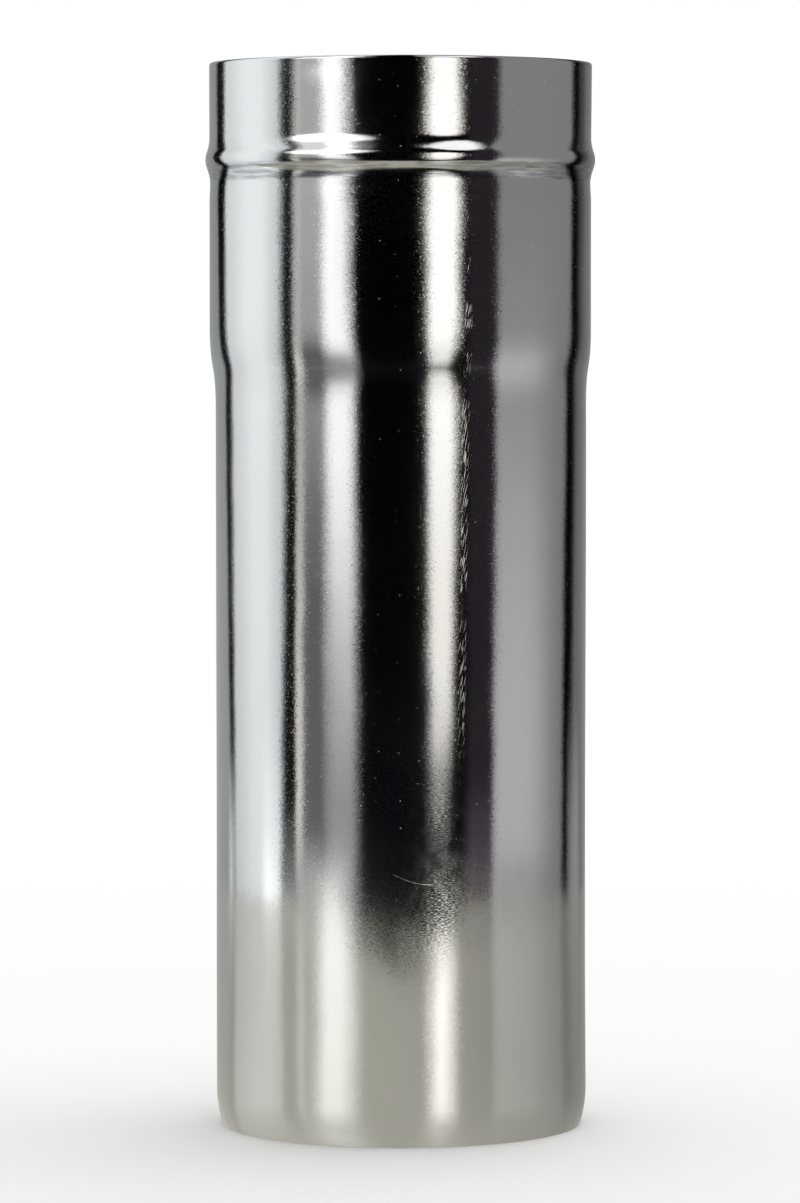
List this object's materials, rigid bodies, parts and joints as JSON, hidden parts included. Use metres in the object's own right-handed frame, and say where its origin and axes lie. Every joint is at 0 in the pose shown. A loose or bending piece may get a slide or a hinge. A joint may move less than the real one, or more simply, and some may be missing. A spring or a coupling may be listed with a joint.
{
  "type": "stove pipe",
  "caption": "Straight single-wall stove pipe with a widened, beaded socket at the head and a slightly drawn-in foot that plugs into the next socket.",
  "frame": {"origin": "centre of the pipe on the plane of the foot rim that it stands on", "axes": "+Z along the pipe's axis from the foot up to the mouth of the socket; +X and +Y are equivalent, because the pipe is round"},
  "size_m": [0.121, 0.1208, 0.33],
  "materials": {
    "stainless_sheet": "bright rolled stainless sheet, nearly a mirror, with fine drawing lines, light scuffs and a faint haze"
  },
  "bodies": {
    "root": {"pipe": "stainless_sheet"}
  },
  "joints": []
}
